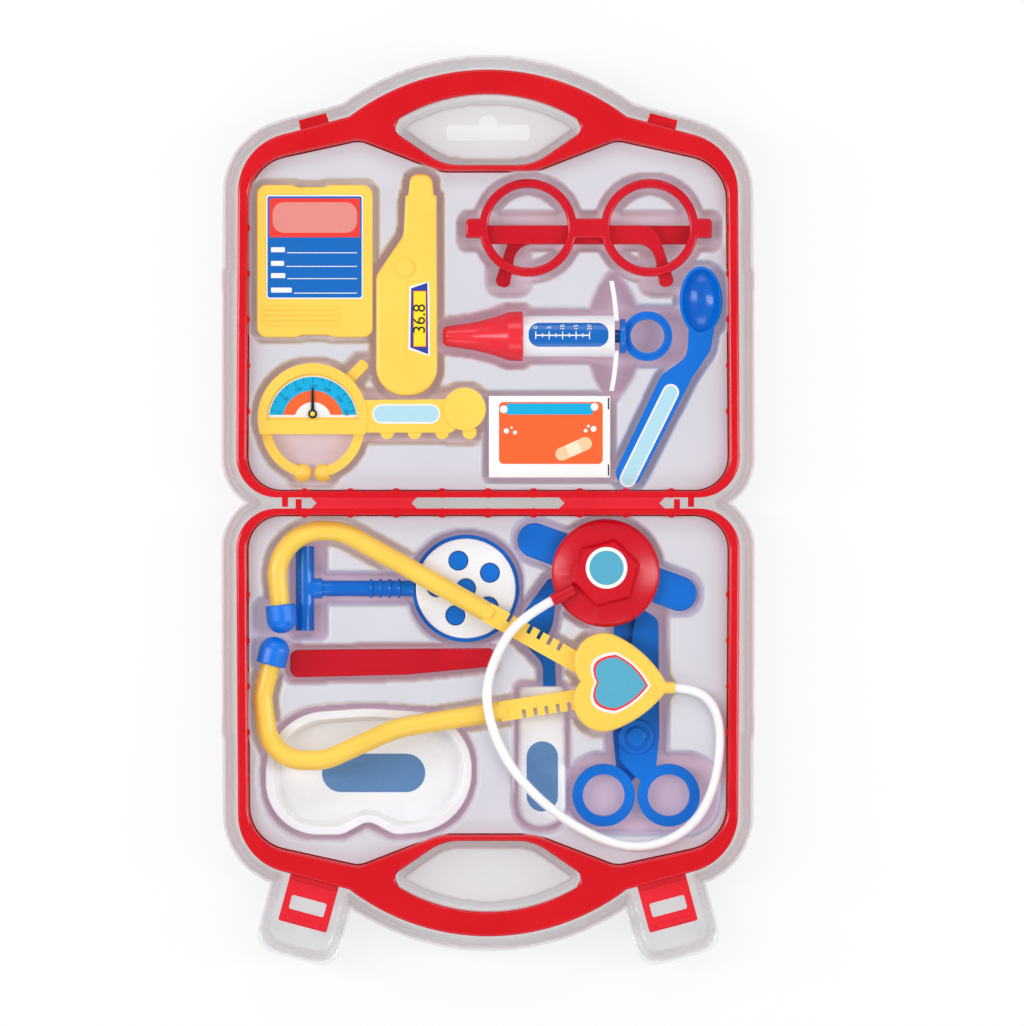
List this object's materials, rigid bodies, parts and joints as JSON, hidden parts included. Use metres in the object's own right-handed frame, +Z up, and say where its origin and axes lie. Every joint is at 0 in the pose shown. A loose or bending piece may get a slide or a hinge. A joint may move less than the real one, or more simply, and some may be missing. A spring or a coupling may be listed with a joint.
{
  "type": "toy doctor case",
  "caption": "Child's folding doctor case lying open in a clear display tray, with toy instruments nested in formed trays in the lid and base.",
  "frame": {"origin": "on the resting face of the clear tray, under the middle of the case's hinge", "axes": "+X along the hinge, +Y from the hinge towards the lid's handle, +Z up out of the open case"},
  "size_m": [0.2628, 0.4479, 0.0309],
  "materials": {
    "clear_film": "clear, thin, glossy",
    "red_case": "glossy moulded",
    "white_sheet": "satin formed sheet",
    "yellow_plastic": "satin moulded",
    "red_plastic": "glossy moulded",
    "blue_plastic": "glossy moulded",
    "white_plastic": "glossy moulded",
    "blue_rubber": "matte",
    "black_needle": "glossy",
    "white_hose": "soft, satin",
    "printed_board": "printed board"
  },
  "bodies": {
    "display_tray": {"display_tray": "clear_film"},
    "base": {"base_shell": "red_case", "base_tray": "white_sheet", "hinge_strap_left": "red_case", "hinge_strap_right": "red_case", "latch_left_web": "red_case", "latch_right_web": "red_case"},
    "lid": {"lid_shell": "red_case", "lid_tray": "white_sheet"},
    "latch_left": {"latch_left": "red_case"},
    "latch_right": {"latch_right": "red_case"},
    "badge": {"badge": "yellow_plastic"},
    "thermometer": {"thermometer_back": "yellow_plastic", "thermometer_front": "yellow_plastic"},
    "glasses": {"glasses_front": "red_plastic", "temple_left": "red_plastic"},
    "temple_right": {"temple_right": "red_plastic"},
    "syringe": {"syringe_barrel": "white_plastic", "syringe_nozzle": "red_plastic"},
    "plunger": {"syringe_plunger": "blue_plastic", "plunger_piston": "blue_rubber"},
    "spoon": {"spoon": "blue_plastic"},
    "gauge": {"gauge_body": "yellow_plastic"},
    "needle": {"gauge_needle": "black_needle"},
    "carton": {"bandage_carton": "printed_board"},
    "stethoscope": {"stethoscope_arm_upper": "yellow_plastic", "stethoscope_arm_lower": "yellow_plastic", "ear_tip_upper": "blue_plastic", "ear_tip_lower": "blue_plastic", "heart_back": "yellow_plastic", "heart_front": "yellow_plastic", "chestpiece": "red_plastic", "stethoscope_hose": "white_hose"},
    "hammer": {"hammer_head": "blue_plastic", "hammer_handle": "blue_plastic", "hammer_cover": "white_plastic"},
    "tweezers": {"tweezers": "red_plastic"},
    "dish": {"kidney_dish": "white_plastic"},
    "mirror": {"mirror_handle": "white_plastic", "mirror_head": "blue_plastic"},
    "depressor": {"tongue_depressor": "blue_plastic"},
    "scissors": {"scissor_lower": "blue_plastic", "scissor_rivet": "blue_plastic"},
    "scissor_upper": {"scissor_upper": "blue_plastic"}
  },
  "joints": [
    {"name": "case_lift", "type": "slide", "parent": "display_tray", "child": "base", "axis": [0, 0, -1], "range_m": [-0.1, 0]},
    {"name": "lid_fold", "type": "hinge", "parent": "base", "child": "lid", "pos_m": [0, 0, 0.03105], "axis": [1, 0, 0], "range_deg": [0, 180], "deforming": ["hinge_strap_left", "hinge_strap_right"]},
    {"name": "latch_left_swing", "type": "hinge", "parent": "base", "child": "latch_left", "pos_m": [-0.08534, -0.18617, 0.0264], "axis": [-0.9655, 0.2604, 0], "range_deg": [0, 90], "deforming": ["latch_left_web"]},
    {"name": "latch_right_swing", "type": "hinge", "parent": "base", "child": "latch_right", "pos_m": [0.08534, -0.18617, 0.0264], "axis": [-0.9655, -0.2604, 0], "range_deg": [0, 90], "deforming": ["latch_right_web"]},
    {"name": "badge_lift", "type": "slide", "parent": "lid", "child": "badge", "axis": [0, 0, -1], "range_m": [-0.06, 0]},
    {"name": "thermometer_lift", "type": "slide", "parent": "lid", "child": "thermometer", "axis": [0, 0, -1], "range_m": [-0.06, 0]},
    {"name": "glasses_lift", "type": "slide", "parent": "lid", "child": "glasses", "axis": [0, 0, -1], "range_m": [-0.26, 0]},
    {"name": "temple_right_fold", "type": "hinge", "parent": "glasses", "child": "temple_right", "pos_m": [0.107, 0.1346, 0.0134], "axis": [0, -1, 0], "range_deg": [0, 90]},
    {"name": "syringe_lift", "type": "slide", "parent": "lid", "child": "syringe", "axis": [0, 0, -1], "range_m": [-0.06, 0]},
    {"name": "plunger_slide", "type": "slide", "parent": "syringe", "child": "plunger", "axis": [1, 0, 0], "range_m": [0, 0.008]},
    {"name": "spoon_lift", "type": "slide", "parent": "lid", "child": "spoon", "axis": [0, 0, -1], "range_m": [-0.05, 0]},
    {"name": "gauge_lift", "type": "slide", "parent": "lid", "child": "gauge", "axis": [0, 0, -1], "range_m": [-0.06, 0]},
    {"name": "needle_swing", "type": "hinge", "parent": "gauge", "child": "needle", "pos_m": [-0.0862, 0.0438, 0.0228], "axis": [0, 0, 1], "range_deg": [-70, 70]},
    {"name": "carton_lift", "type": "slide", "parent": "lid", "child": "carton", "axis": [0, 0, -1], "range_m": [-0.06, 0]},
    {"name": "stethoscope_lift", "type": "slide", "parent": "base", "child": "stethoscope", "axis": [0, 0, -1], "range_m": [-0.12, 0]},
    {"name": "hammer_lift", "type": "slide", "parent": "base", "child": "hammer", "axis": [0, 0, -1], "range_m": [-0.06, 0]},
    {"name": "tweezers_lift", "type": "slide", "parent": "base", "child": "tweezers", "axis": [0, 0, -1], "range_m": [-0.06, 0]},
    {"name": "dish_lift", "type": "slide", "parent": "base", "child": "dish", "axis": [0, 0, -1], "range_m": [-0.06, 0]},
    {"name": "mirror_lift", "type": "slide", "parent": "base", "child": "mirror", "axis": [0, 0, -1], "range_m": [-0.06, 0]},
    {"name": "depressor_lift", "type": "slide", "parent": "base", "child": "depressor", "axis": [0, 0, -1], "range_m": [-0.06, 0]},
    {"name": "scissors_lift", "type": "slide", "parent": "base", "child": "scissors", "axis": [0, 0, -1], "range_m": [-0.06, 0]},
    {"name": "scissor_open", "type": "hinge", "parent": "scissors", "child": "scissor_upper", "pos_m": [0.073, -0.1152, 0.01], "axis": [0, 0, 1], "range_deg": [0, 10]}
  ],
  "couplings": [
    {"joint": "temple_right_fold", "follows": "glasses_lift", "rad_per_m": -6.0415},
    {"joint": "hammer_lift", "follows": "stethoscope_lift", "ratio": 0.5},
    {"joint": "tweezers_lift", "follows": "stethoscope_lift", "ratio": 0.5},
    {"joint": "dish_lift", "follows": "stethoscope_lift", "ratio": 0.5},
    {"joint": "mirror_lift", "follows": "stethoscope_lift", "ratio": 0.5},
    {"joint": "depressor_lift", "follows": "stethoscope_lift", "ratio": 0.5},
    {"joint": "scissors_lift", "follows": "stethoscope_lift", "ratio": 0.5}
  ]
}
